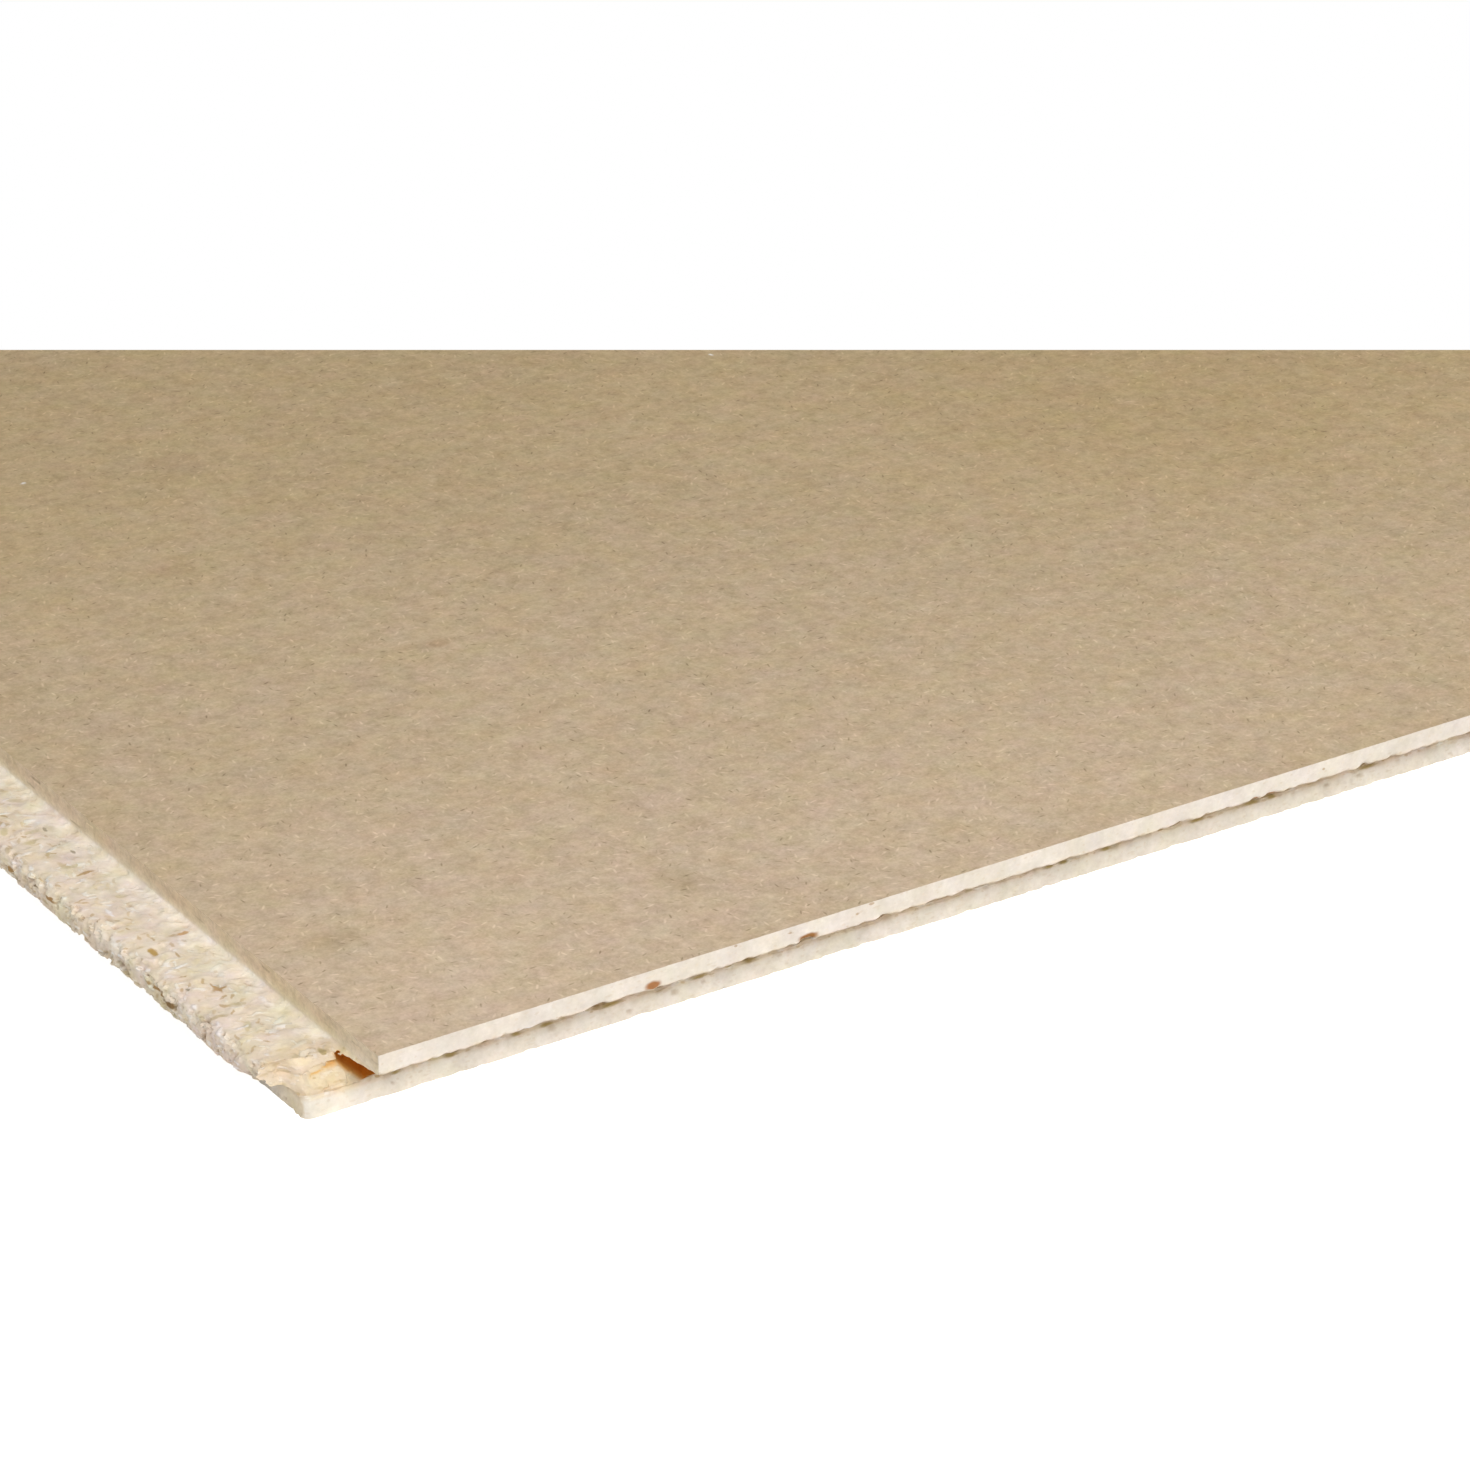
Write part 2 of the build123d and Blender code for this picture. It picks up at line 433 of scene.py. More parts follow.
def groove_section(step):
    """The groove edge: upper lip's face and underside, groove root, lower lip's top and face."""
    corners = (
        ((0, FACE_HEIGHT), 0, OVERRUN),
        ((0, GROOVE_TOP + LIP_EASE), 0, step),
        ((-LIP_EASE, GROOVE_TOP), 0, step),
        ((SEEN_ROOF, GROOVE_TOP), 0, step),
        ((-GROOVE_DEPTH, GROOVE_TOP), GROOVE_ROOT_RADIUS, HIDDEN_STEP),
        ((-GROOVE_DEPTH, GROOVE_BOTTOM), GROOVE_ROOT_RADIUS, step),
        ((-LOWER_LIP_SETBACK - LIP_EASE, GROOVE_BOTTOM), 0, step),
        ((-LOWER_LIP_SETBACK, GROOVE_BOTTOM - LIP_EASE), 0, step),
        ((-LOWER_LIP_SETBACK, 0), 0, step),
        ((-LOWER_LIP_SETBACK, -OVERRUN), 0, OVERRUN),
    )
    return section_line((0, FACE_HEIGHT + OVERRUN), corners, step)


def section_normals(points):
    """Directions out of the wood at each point of a section."""
    along = np.gradient(points, axis=0)
    along /= np.linalg.norm(along, axis=1)[:, None]
    return np.stack((-along[:, 1], along[:, 0]), axis=1)


def section_lengths(points):
    """How far along the section each point lies."""
    steps = np.linalg.norm(np.diff(points, axis=0), axis=1)
    return np.concatenate(((0,), np.cumsum(steps)))


def stations(start, end, fine_length, first_step):
    """Places along an edge: first_step apart for fine_length, then further and further apart."""
    places = [start]
    step = first_step
    while places[-1] + step < end:
        places.append(places[-1] + step)
        if places[-1] > start + fine_length:
            step = min(step * STEP_GROWTH, COARSE_STEP)
    return np.array(places + [end])


# How far the milled surfaces lie off their true section, and the share of each finish there, from 0 to 1; the
# finishes are painted shade in hollows and gaps, painted shade in the slit and crack at the corner, the
# rubbed shoulder, fresh torn wood, and painted light where the edge lies in shade
FINISHES = ("painted_shade", "painted_gap_shade", "rubbed", "fresh", "painted_light")
PAINTED_SHADE, PAINTED_GAP_SHADE, FRESH, PAINTED_LIGHT = map(FINISHES.index, ("painted_shade", "painted_gap_shade", "fresh", "painted_light"))


def finish_of(*shares):
    """The finishes side by side."""
    return np.clip(np.stack(np.broadcast_arrays(*shares), axis=2), 0, 1)


def around(points, out, up, reach, middle):
    """1 within middle of one point of the section, fading to 0 at reach."""
    return ramp(np.hypot(points[:, 0] - out, points[:, 1] - up), reach, middle)


def tongue_relief(along, points, run, seed):
    """Torn chips on the tongue: offsets as (out, up), and the finish."""
    normals = section_normals(points)
    out, up = points[:, 0], points[:, 1]
    core = SHOULDER_SHARE + (1 - SHOULDER_SHARE) * ramp(out, 0, 1.5 * MM)
    nose = ramp(out, TONGUE_REACH - 4.5 * MM, TONGUE_REACH - 0.5 * MM)
    level, rim = chips(along, run, *TONGUE_CHIP, seed)
    small_level, small_rim = chips(along, run, *TONGUE_SPLINTER, seed + 20)
    hole = holes(along, run, 9 * MM, 0.2, 1.1 * MM, seed + 10)
    missing = ramp(small_level, 0.45, 0.9)
    torn = TONGUE_CHIP_DEPTH * level + TONGUE_SPLINTER_DEPTH * small_level + TONGUE_RIM_DEPTH * rim
    depth = core * (torn + TONGUE_HOLE_DEPTH * hole)
    depth = depth + TONGUE_GRIT * soft_noise(along, run, 1.5 * MM, seed + 30)
    depth = depth + nose * (NOSE_WAVE * soft_noise(along, run, 5 * MM, seed + 40) + NOSE_GAP * missing)
    # Painted shade: darker in holes, in the gaps between chips, and at the rims of chips missing from the
    # nose
    painted_shade = core * np.maximum(0.8 * hole, 0.2 * rim * level) + 0.9 * nose * missing * small_rim
    rubbed = ramp(up, TONGUE_TOP + 0.2 * MM, TONGUE_TOP + 0.8 * MM)
    # Painted light: lighter beside the shoulder, against its shade on the tongue's top, and on the middle of
    # the nose, which the lamps light only from the side
    painted_light_by_shoulder = ramp(out, 11 * MM, 1.5 * MM) * ramp(up, TONGUE_TOP + 1 * MM, TONGUE_TOP)
    painted_light_on_nose = 0.4 * ramp(out, TONGUE_REACH - 2.5 * MM, TONGUE_REACH - 1 * MM) * ramp(up, 11 * MM, 13 * MM)
    offsets = -depth[:, :, None] * normals[None, :, :]
    return offsets, finish_of(painted_shade, 0, rubbed, 0, np.maximum(painted_light_by_shoulder, painted_light_on_nose))


def left_tongue_relief(along, points, run, seed):
    """The left tongue, with the underside of its nose broken off at the near end."""
    offsets, finish = tongue_relief(along, points, run, seed)
    out, up = points[:, 0], points[:, 1]
    near_end = ramp(along - FACE_NEAR, GROOVE_DEPTH + 14 * MM, GROOVE_DEPTH + 1 * MM)
    under = ramp(up, 12.5 * MM, 8 * MM) * ramp(out, LOWER_SHOULDER + 0.6 * MM, LOWER_SHOULDER + 4 * MM)
    broken = near_end * under * (0.7 + 0.6 * soft_noise(along, run, 3 * MM, seed + 50))
    torn = ramp(along - FACE_NEAR, GROOVE_DEPTH + 9 * MM, GROOVE_DEPTH - 3 * MM) * (up < TONGUE_TOP + 1 * MM)
    finish[:, :, FRESH] = torn
    finish[:, :, PAINTED_LIGHT] *= 1 - torn
    return offsets + broken[:, :, None] * NOSE_BREAK, finish


def lower_lip_edge(points):
    """1 at the upper edge of the lower lip, fading to 0 within a few millimetres."""
    return around(points, -LOWER_LIP_SETBACK, GROOVE_BOTTOM, 2.5 * MM, 0.4 * MM)


def groove_relief(along, points, run, seed):
    """Torn lips of the groove: offsets as (out, up), and the finish."""
    normals = section_normals(points)
    out, up = points[:, 0], points[:, 1]
    foot = around(points, -LOWER_LIP_SETBACK, 0, 2.0 * MM, 0.3 * MM)
    lower_lip = ramp(up, GROOVE_TOP, GROOVE_BOTTOM)
    level, rim = chips(along, run, *GROOVE_CHIP, seed)
    hole = holes(along, run, 8 * MM, 0.16, 1.1 * MM, seed + 10)
    depth = (0.3 + 0.7 * lower_lip) * (GROOVE_CHIP_DEPTH * level + GROOVE_RIM_DEPTH * rim)
    depth = depth + lower_lip * GROOVE_HOLE_DEPTH * hole
    depth = depth + GROOVE_GRIT * soft_noise(along, run, 1.4 * MM, seed + 30)
    ragged = LIP_WAVE * (soft_noise(along, 0, 6 * MM, seed + 40) - 0.6)
    ragged = ragged + LIP_RAGGEDNESS * (soft_noise(along, 0, 2.0 * MM, seed + 50) - 0.6)
    fuzz = LIP_FUZZ * soft_noise(along, 0, 4.5 * MM, seed + 60) - 0.1 * MM
    nicks = FOOT_NICK * ramp(soft_noise(along, 0, 3 * MM, seed + 70), 0.6, 1)
    offsets = -depth[:, :, None] * normals[None, :, :]
    offsets = offsets + lip_torn_by(ragged, points)
    offsets = offsets + (fuzz * lower_lip_edge(points))[:, :, None] * np.array((-0.2, 0.8))
    offsets = offsets + (nicks * foot)[:, :, None] * np.array((-0.7, 0.5))
    below_roof = up < GROOVE_TOP - 3 * MM
    on_floor = ramp(out, -LOWER_LIP_SETBACK - 1.0 * MM, -LOWER_LIP_SETBACK - 3 * MM) * below_roof
    # Painted shade on the groove's floor, seen under the upper lip as a dark line
    painted_floor_shade = on_floor * ramp(soft_noise(along, 0, 6 * MM, seed + 80), 0.35, 0.9)
    on_lip_face = ramp(out, -LOWER_LIP_SETBACK - 1.5 * MM, -LOWER_LIP_SETBACK) * below_roof
    # Painted shade at the top of the lower lip's face, under the upper lip, broken up by specks
    painted_lip_shade_and_specks = on_lip_face * ramp(up, GROOVE_BOTTOM - LIP_SHADE_REACH, GROOVE_BOTTOM - 0.2 * MM)
    specks = ramp(soft_noise(along, run, 1.7 * MM, seed + 87), 0.5, 0.95)
    painted_lip_shade_and_specks = painted_lip_shade_and_specks * (0.1 + 0.4 * soft_noise(along, 0, 7 * MM, seed + 85) + 0.45 * specks)
    painted_shade = np.maximum(lower_lip * np.maximum(0.8 * hole, 0.15 * rim), np.maximum(0.8 * painted_floor_shade, painted_lip_shade_and_specks))
    return offsets, finish_of(painted_shade, 0, 0, 0, 0)


def upper_lip_edge(points):
    """1 at the lower edge of the upper lip, fading to 0 within a few millimetres."""
    return around(points, 0, GROOVE_TOP, 2.4 * MM, 0.2 * MM)


def lip_torn_by(amount, points):
    """Offsets of the upper lip's lower edge: up by the amount, and inwards where wood is missing."""
    edge = upper_lip_edge(points)
    return np.stack((-0.45 * np.maximum(amount, 0) * edge, 0.8 * amount * edge), axis=2)


def near_groove_relief(along, points, run, seed):
    """The near groove, with the tears in its upper lip and the torn end of the tongue at the corner."""
    offsets, finish = groove_relief(along, points, run, seed)
    up = points[:, 1]
    from_corner = along - FACE_LEFT
    tear = np.zeros(along.shape)
    for place, reach, depth in np.array(LIP_TEARS) * MM:
        tear = np.maximum(tear, depth * ramp(np.abs(from_corner - place), reach, 0.3 * reach))
    offsets = offsets + lip_torn_by(tear, points)

    height = np.clip((up - GROOVE_BOTTOM) / (GROOVE_TOP - GROOVE_BOTTOM), 0, 1)
    torn_until = TORN_FOOT * (1 - height) ** 2 - TORN_BELLY * height * (1 - height)
    on_tongue = ramp(from_corner, torn_until + 1 * MM, torn_until - 2 * MM)
    at_corner = ramp(from_corner, 12 * MM, 2 * MM)
    behind_lip = np.clip(-LOWER_LIP_SETBACK - LIP_EASE - points[:, 0], 0, None) * (up < FACE_HEIGHT - 2 * MM)
    level, rim = chips(along, run, *TORN_CHIP, seed + 97)
    wall = torn_wall(from_corner, height, behind_lip, level, torn_layers(along, up, run, seed))
    offsets[:, :, 0] += on_tongue * wall
    heap = (at_corner - on_tongue) * (1 - height) * ramp(behind_lip, 0.3 * MM, 5 * MM)
    offsets[:, :, 1] += HEAP_HEIGHT * heap
    offsets[:, :, 1] -= FLAKE_SAG * hanging_flake(from_corner, along, points, run, seed)
    crumbled = lower_lip_edge(points) * ramp(np.abs(from_corner), 8 * MM, 1 * MM)
    offsets = offsets - (CRUMBLED_DEPTH * crumbled)[:, :, None] * np.array((0.7, 1.0))
    offsets = offsets - rounded_lip_corner(from_corner, up)[:, :, None] * np.array((1, 0))

    in_groove = ramp(behind_lip, 0.3 * MM, 2 * MM)
    inside = ramp(from_corner, torn_until - 2.4 * MM, torn_until + 0.2 * MM)
    inside = inside * ramp(from_corner, 16 * MM, 9 * MM)
    # Painted shade in the gaps between the torn chips in the groove
    painted_rim_shade = 0.2 * on_tongue * in_groove * rim * level
    finish[:, :, PAINTED_SHADE] = np.maximum(finish[:, :, PAINTED_SHADE] * (1 - at_corner), painted_rim_shade)
    # Painted shade, dark brown with an amber rim, in the slit under the upper lip and along the crack in the
    # torn end
    finish[:, :, PAINTED_GAP_SHADE] = in_groove * np.maximum(inside, painted_crack_shade(from_corner, up))
    finish[:, :, FRESH] = np.maximum(in_groove * ramp(from_corner, 10 * MM, 6 * MM), crumbled)
    # Painted light on the torn wood inside the groove at the corner, against the upper lip's shadow there;
    # the torn wood is paler too
    finish[:, :, PAINTED_LIGHT] = in_groove * ramp(from_corner, -2 * MM, 2 * MM) * ramp(from_corner, 8 * MM, 5 * MM)
    return offsets, finish


def torn_layers(along, up, run, seed):
    """How far each layer of flakes stands out at the tongue's torn end, from 0 to 1."""
    layer = np.floor(up / TORN_LAYER + 0.8 * soft_noise(along, run, 9 * MM, seed + 95))
    return soft_noise(along, layer * 40 * MM, 5 * MM, seed + 90)


def torn_wall(from_corner, height, behind_lip, level, flake):
    """How far the tongue's torn end stands out of the groove's root, with its loose flakes."""
    over_lip = ramp(from_corner, -16 * MM, -12 * MM)
    kept = 0.11 + 0.55 * height + 0.12 * height ** 6
    kept = 1 - over_lip * (1 - kept)
    loose = np.minimum(behind_lip, LOOSE_DEPTH) * (0.5 * flake + 0.8 * level - 0.65)
    loose = loose * ramp(height, -0.25, 0.3)
    return (1 - kept) * behind_lip + (0.4 + 0.6 * over_lip) * loose


def hanging_flake(from_corner, along, points, run, seed):
    """1 on the flake that hangs from the groove's roof beside the torn end, fading to 0 around it."""
    out, up = points[:, 0], points[:, 1]
    width = FLAKE_WIDTH * ramp(-out, 5 * MM, 21 * MM)
    width = width * (0.6 + 0.8 * soft_noise(along, run, 3 * MM, seed + 99))
    hanging = ramp(from_corner, -width - 0.4 * MM, -width + 0.6 * MM) * ramp(from_corner, 6 * MM, 2 * MM)
    return hanging * ramp(-out, 3 * MM, 7 * MM) * ramp(up, GROOVE_TOP - 3 * MM, GROOVE_TOP - 1 * MM)


def rounded_lip_corner(from_corner, up):
    """How far the lower lip's face is worn back towards its near corner."""
    from_end = from_corner + LOWER_SHOULDER - LIP_CORNER_INSET
    short_of_round = np.clip(LIP_CORNER_RADIUS - from_end, 0, LIP_CORNER_RADIUS)
    rounding = LIP_CORNER_RADIUS - np.sqrt(LIP_CORNER_RADIUS ** 2 - short_of_round ** 2)
    return rounding * ramp(up, GROOVE_BOTTOM + 1 * MM, GROOVE_BOTTOM - 1 * MM)


def painted_crack_shade(from_corner, up):
    """How dark the painted shade along the crack across the tongue's torn end is; the crack widens towards
    the corner.
    """
    width = 0.7 * MM + 1.5 * MM * ramp(from_corner, -6 * MM, -1 * MM)
    crack = ramp(np.abs(up - (CRACK_HEIGHT + CRACK_SLOPE * from_corner)), width, 0.2 * width)
    crack = crack * ramp(from_corner, -11.5 * MM, -9 * MM)
    return 0.5 * crack * ramp(from_corner, 2 * MM, 0)


def cutter(name, section, relief, origin, outward, way, places, seed, records):
    """A closed milling cutter along one edge, with its relief; notes the finish of its points in records."""
    run = section_lengths(section)
    offsets, finish = relief(places[:, None], section, run[None, :], seed)
    shape = section[None, :, :] + offsets
    clear = TONGUE_REACH + 2 * OVERRUN
    bottom = np.broadcast_to((clear, -OVERRUN), (len(places), 1, 2))
    top = np.broadcast_to((clear, FACE_HEIGHT + OVERRUN), (len(places), 1, 2))
    loop = np.concatenate((shape, bottom, top), axis=1)
    points = (
        np.array(origin)
        + loop[:, :, 0, None] * np.array(outward)
        + loop[:, :, 1, None] * np.array((0, 0, 1))
        + places[:, None, None] * np.array(way)
    )
    across = loop.shape[1]
    first = np.arange(len(places) - 1)[:, None] * across
    here = np.arange(across)[None, :]
    after = (here + 1) % across
    quads = np.stack((first + here, first + after, first + across + after, first + across + here), axis=2)
    faces = [tuple(quad) for quad in quads.reshape(-1, 4).tolist()]
    faces.append(tuple(range(across)))
    faces.append(tuple(range((len(places) - 1) * across, len(places) * across)))
    records.append((points[:, : len(section)].reshape(-1, 3), finish.reshape(-1, len(FINISHES))))
    return closed_object(name, points.reshape(-1, 3).tolist(), faces)


def closed_object(name, points, faces):
    """A new object in the scene with a closed mesh, every face turned outwards."""
    mesh = bpy.data.meshes.new(name)
    mesh.from_pydata(points, [], faces)
    work = bmesh.new()
    work.from_mesh(mesh)
    bmesh.ops.recalc_face_normals(work, faces=work.faces)
    work.to_mesh(mesh)
    work.free()
    return add_object(name, mesh)


def add_object(name, data):
    """A new object in the scene for this mesh, lamp or camera."""
    made = bpy.data.objects.new(name, data)
    bpy.context.scene.collection.objects.link(made)
    return made


def blank_board():
    """The pressed board before its edges are milled, a little larger than the panel."""
    ends_x = (cad_low.x - SPARE, cad_high.x + SPARE)
    ends_y = (cad_low.y - SPARE, cad_high.y + SPARE)
    corners = [(x, y, z) for z in (0, FACE_HEIGHT) for y in ends_y for x in ends_x]
    faces = [(0, 2, 3, 1), (4, 5, 7, 6), (0, 1, 5, 4), (2, 6, 7, 3), (0, 4, 6, 2), (1, 3, 7, 5)]
    return closed_object("blank_board", corners, faces)


def milled_panel():
    """The board with its four edges milled by rough cutters, as one closed mesh."""
    ends_x = (cad_low.x - OVERRUN, cad_high.x + OVERRUN)
    ends_y = (cad_low.y - OVERRUN, cad_high.y + OVERRUN)
    records = []
    cutters = [
        cutter("left_cutter", tongue_section(FINE_STEP), left_tongue_relief, (FACE_LEFT, 0, 0),
               (-1, 0, 0), (0, 1, 0), stations(*ends_y, FINE_TONGUE_LENGTH, FINE_STEP), 100, records),
        cutter("far_cutter", tongue_section(2 * FINE_STEP), tongue_relief, (0, FACE_FAR, 0),
               (0, 1, 0), (1, 0, 0), stations(*ends_x, 0, COARSE_STEP), 200, records),
        cutter("near_cutter", groove_section(FINE_STEP), near_groove_relief, (0, FACE_NEAR, 0),
               (0, -1, 0), (1, 0, 0), stations(*ends_x, FINE_GROOVE_LENGTH, FINE_STEP), 300, records),
        cutter("right_cutter", groove_section(2 * FINE_STEP), groove_relief, (FACE_RIGHT, 0, 0),
               (1, 0, 0), (0, 1, 0), stations(*ends_y, 0, COARSE_STEP), 400, records),
    ]
    blank = blank_board()
    for tool in cutters:
        cut = blank.modifiers.new(tool.name, "BOOLEAN")
        cut.operation = "DIFFERENCE"
        cut.solver = "MANIFOLD"
        cut.object = tool
    evaluated = blank.evaluated_get(bpy.context.evaluated_depsgraph_get())
    mesh = bpy.data.meshes.new_from_object(evaluated)
    mesh.name = "chipboard_panel"
    panel = add_object("chipboard_panel", mesh)
    for tool in cutters + [blank]:
        bpy.data.objects.remove(tool)
    mark_finish(mesh, records)
    mesh.shade_smooth()
    mesh.set_sharp_from_angle(angle=SMOOTHING_ANGLE)
    return panel


def mark_finish(mesh, records):
    """Writes the finish of each point of the panel, from the nearest cutter point."""
    points, finish = (np.concatenate(column) for column in zip(*records))
    tree = KDTree(len(points))
    for number, point in enumerate(points):
        tree.insert(point, number)
    tree.balance()
    found = [tree.find(vertex.co)[1] for vertex in mesh.vertices]
    for column, name in enumerate(FINISHES):
        attribute = mesh.attributes.new(name, "FLOAT", "POINT")
        attribute.data.foreach_set("value", finish[found, column].astype(np.float32))


def give_materials(panel, face_material, edge_material):
    """The pressed face and underside get one material, the milled edges the other."""
    mesh = panel.data
    mesh.materials.clear()
    mesh.materials.append(face_material)
    mesh.materials.append(edge_material)
    for polygon in mesh.polygons:
        level = abs(polygon.normal.z) > LEVEL_NORMAL
        off_face = min(FACE_HEIGHT - polygon.center.z, polygon.center.z)
        polygon.material_index = 0 if level and off_face < FACE_TOLERANCE else 1


# Helpers for shader nodes

def put(tree, kind, settings=None, **inputs):
    """Adds a node; each input is a plain value or the output that feeds it, named with _ for a space."""
    made = tree.nodes.new(kind)
    for name, value in (settings or {}).items():
        setattr(made, name, value)
    for name, value in inputs.items():
        feed(tree, made.inputs[name.replace("_", " ")], value)
    return made


def feed(tree, socket, value):
    """Links an output to a socket, or writes a plain value on it."""
    if isinstance(value, bpy.types.NodeSocket):
        tree.links.new(value, socket)
    else:
        socket.default_value = value


def calculate(tree, operation, first, second=0.0, third=0.0):
    """One Math node; gives its output."""
    made = put(tree, "ShaderNodeMath", {"operation": operation})
    for socket, value in zip(made.inputs, (first, second, third)):
        feed(tree, socket, value)
    return made.outputs[0]


def times(tree, first, second):
    """The product of two values."""
    return calculate(tree, "MULTIPLY", first, second)


def times_plus(tree, first, second, third):
    """The product of two values, plus a third."""
    return calculate(tree, "MULTIPLY_ADD", first, second, third)


def reckon(tree, operation, first, second=(0, 0, 0)):
    """One Vector Math node; gives its vector output, or the length for LENGTH."""
    made = put(tree, "ShaderNodeVectorMath", {"operation": operation})
    feed(tree, made.inputs[0], first)
    feed(tree, made.inputs[1], second)
    return made.outputs["Value" if operation == "LENGTH" else "Vector"]


def blend(tree, share, first, second, kind="MIX"):
    """Mixes two colours; gives the colour."""
    made = put(tree, "ShaderNodeMix", {"data_type": "RGBA", "blend_type": kind}, Factor=share)
    feed(tree, made.inputs[6], first)
    feed(tree, made.inputs[7], second)
    return made.outputs[2]


def remap(tree, value, start, end, low=0.0, high=1.0):
    """Smooth step of a value from start to end, giving low to high."""
    made = put(
        tree, "ShaderNodeMapRange", {"interpolation_type": "SMOOTHSTEP"},
        Value=value, From_Min=start, From_Max=end, To_Min=low, To_Max=high)
    return made.outputs["Result"]


def colours(tree, value, *stops):
    """A colour ramp of (place, colour) stops; gives the colour."""
    made = put(tree, "ShaderNodeValToRGB", Fac=value)
    elements = made.color_ramp.elements
    while len(elements) < len(stops):
        elements.new(0.5)
    for element, (place, colour) in zip(elements, stops):
        element.position = place
        element.color = (*colour, 1)
    return made.outputs["Color"]


def start_group(name, inputs, outputs):
    """An empty shader node group: inputs with their values, None for a place or size, and value outputs."""
    tree = bpy.data.node_groups.new(name, "ShaderNodeTree")
    for label, default in inputs.items():
        kind = "NodeSocketVector" if default is None else "NodeSocketFloat"
        socket = tree.interface.new_socket(label, in_out="INPUT", socket_type=kind)
        if default is not None:
            socket.default_value = default
    for label in outputs:
        tree.interface.new_socket(label, in_out="OUTPUT", socket_type="NodeSocketFloat")
    return tree, tree.nodes.new("NodeGroupInput").outputs, tree.nodes.new("NodeGroupOutput").inputs


def inside_ball(tree, away, size, softness):
    """1 inside a ball stretched to this size, fading to 0 over the soft part of its rim."""
    half = reckon(tree, "MULTIPLY", size, (0.5, 0.5, 0.5))
    distance = reckon(tree, "LENGTH", reckon(tree, "DIVIDE", away, half))
    return remap(tree, distance, 1.0, calculate(tree, "SUBTRACT", 1.0, softness))


# Shader node groups that both finishes use

def build_chip_layer():
    """Chips scattered through the board, lying flat and turned every way: a mask and a tone for each."""
    tree, given, result = start_group(
        "chip layer",
        {"Vector": None, "Cell": 4.0, "Length": 6.0, "Width": 2.0, "Height": 1.0, "Flatness": 1.0,
         "Coverage": 1.0, "Softness": 0.3, "Seed": 0.0},
        ("Mask", "Tone"))
    seed = put(tree, "ShaderNodeCombineXYZ", X=given["Seed"], Y=given["Seed"])
    moved = reckon(tree, "ADD", given["Vector"], seed.outputs[0])
    flatten = put(tree, "ShaderNodeCombineXYZ", X=1.0, Y=1.0, Z=given["Flatness"])
    packed = reckon(tree, "MULTIPLY", moved, flatten.outputs[0])
    cells = put(
        tree, "ShaderNodeTexVoronoi", {"voronoi_dimensions": "3D", "feature": "F1"},
        Vector=packed, Scale=calculate(tree, "DIVIDE", 1.0, given["Cell"]))
    chance = put(tree, "ShaderNodeSeparateColor", Color=cells.outputs["Color"])
    away = reckon(tree, "SUBTRACT", packed, cells.outputs["Position"])
    turned = put(
        tree, "ShaderNodeVectorRotate", {"rotation_type": "Z_AXIS"},
        Vector=away, Angle=times(tree, chance.outputs["Red"], math.tau))
    size = put(tree, "ShaderNodeCombineXYZ", X=given["Length"], Y=given["Width"], Z=given["Height"])
    inside = inside_ball(tree, turned.outputs[0], size.outputs[0], given["Softness"])
    there = calculate(tree, "LESS_THAN", chance.outputs["Green"], given["Coverage"])
    tree.links.new(times(tree, inside, there), result["Mask"])
    tree.links.new(chance.outputs["Blue"], result["Tone"])
    return tree


def build_mottle():
    """Soft changes of tone over the board, as three tones from about -1 to 1 that don't go together."""
    tree, given, result = start_group(
        "mottle", {"Vector": None, "Size": 20.0, "Detail": 2.0, "Roughness": 0.5}, ("Tone", "Pink", "Warm"))
    noise = put(
        tree, "ShaderNodeTexNoise", Vector=given["Vector"],
        Scale=calculate(tree, "DIVIDE", 1.0, given["Size"]), Detail=given["Detail"],
        Roughness=given["Roughness"])
    tones = put(tree, "ShaderNodeSeparateColor", Color=noise.outputs["Color"])
    for source, label in (("Red", "Tone"), ("Green", "Pink"), ("Blue", "Warm")):
        tree.links.new(times_plus(tree, tones.outputs[source], 4.0, -2.0), result[label])
    return tree


def build_spot():
    """One bit of another colour at a chosen place: a mask with a soft rim."""
    tree, given, result = start_group(
        "spot", {"Vector": None, "Centre": None, "Size": None, "Softness": 0.4}, ("Mask",))
    away = reckon(tree, "SUBTRACT", given["Vector"], given["Centre"])
    tree.links.new(inside_ball(tree, away, given["Size"], given["Softness"]), result["Mask"])
    return tree


def place_group(tree, group, **values):
    """Places a shader node group in a material; gives its outputs."""
    return put(tree, "ShaderNodeGroup", {"node_tree": group}, **values).outputs


def start_material(name):
    """A material with only its Principled shader; gives material, tree and the shader's sockets."""
    made = bpy.data.materials.new(name)
    made.use_nodes = True
    return made, made.node_tree, made.node_tree.nodes["Principled BSDF"].inputs


def board_millimetres(tree):
    """Place in the board, in millimetres."""
    place = put(tree, "ShaderNodeTexCoord")
    return reckon(tree, "MULTIPLY", place.outputs["Object"], (1000, 1000, 1000))


def spot_at(tree, spot, place, centre, size, softness):
    """Mask of one bit whose centre is given in millimetres from the near corner of the face."""
    corner = (FACE_LEFT / MM, FACE_NEAR / MM, FACE_HEIGHT / MM)
    in_board = tuple(away + start for away, start in zip(centre, corner))
    return place_group(tree, spot, Vector=place, Centre=in_board, Size=size, Softness=softness)["Mask"]


def finish_share(tree, name):
    """How far a finish applies at each place, as marked on the panel's mesh."""
    return put(tree, "ShaderNodeAttribute", {"attribute_name": name}).outputs["Fac"]


def overlay(tree, colour, top, mask, strength):
    """Lays another colour over a colour where the mask is, as strongly as asked."""
    return blend(tree, times(tree, mask, strength), colour, top)


